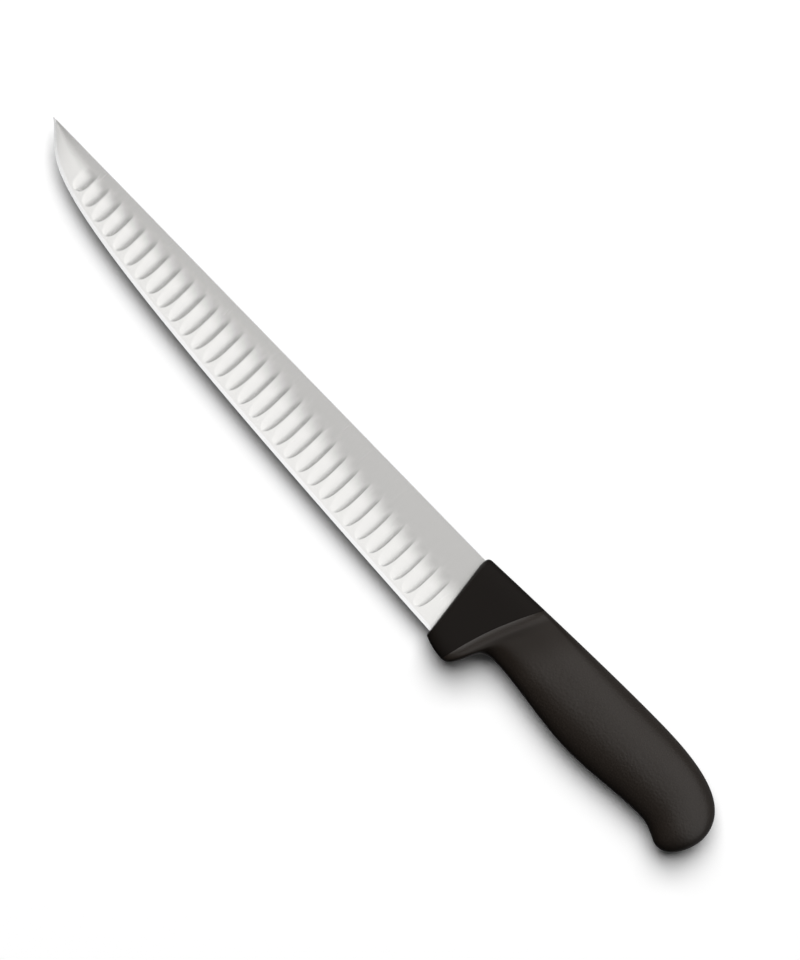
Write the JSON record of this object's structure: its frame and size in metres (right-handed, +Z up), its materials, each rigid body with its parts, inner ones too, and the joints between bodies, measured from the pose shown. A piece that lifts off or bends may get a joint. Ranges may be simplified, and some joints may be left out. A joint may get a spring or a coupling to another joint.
{
  "type": "sticking knife",
  "caption": "Butcher's sticking knife with a long, straight-backed pointed blade, scalloped flutes along both flanks and a black moulded handle with a finger guard.",
  "frame": {"origin": "on the surface that the knife lies on, under the middle of its box", "axes": "+X along the blade towards the tip, +Y from the spine towards the cutting edge, +Z up, square to the blade's flank"},
  "size_m": [0.3882, 0.0448, 0.022],
  "materials": {
    "blade_steel": "satin, ground across the blade, with bright flutes and edge",
    "hard_polymer": "smooth matt moulding",
    "grip_polymer": "fine non-slip grain"
  },
  "bodies": {
    "root": {"blade": "blade_steel", "handle_core": "hard_polymer", "handle_grip": "grip_polymer"}
  },
  "joints": []
}
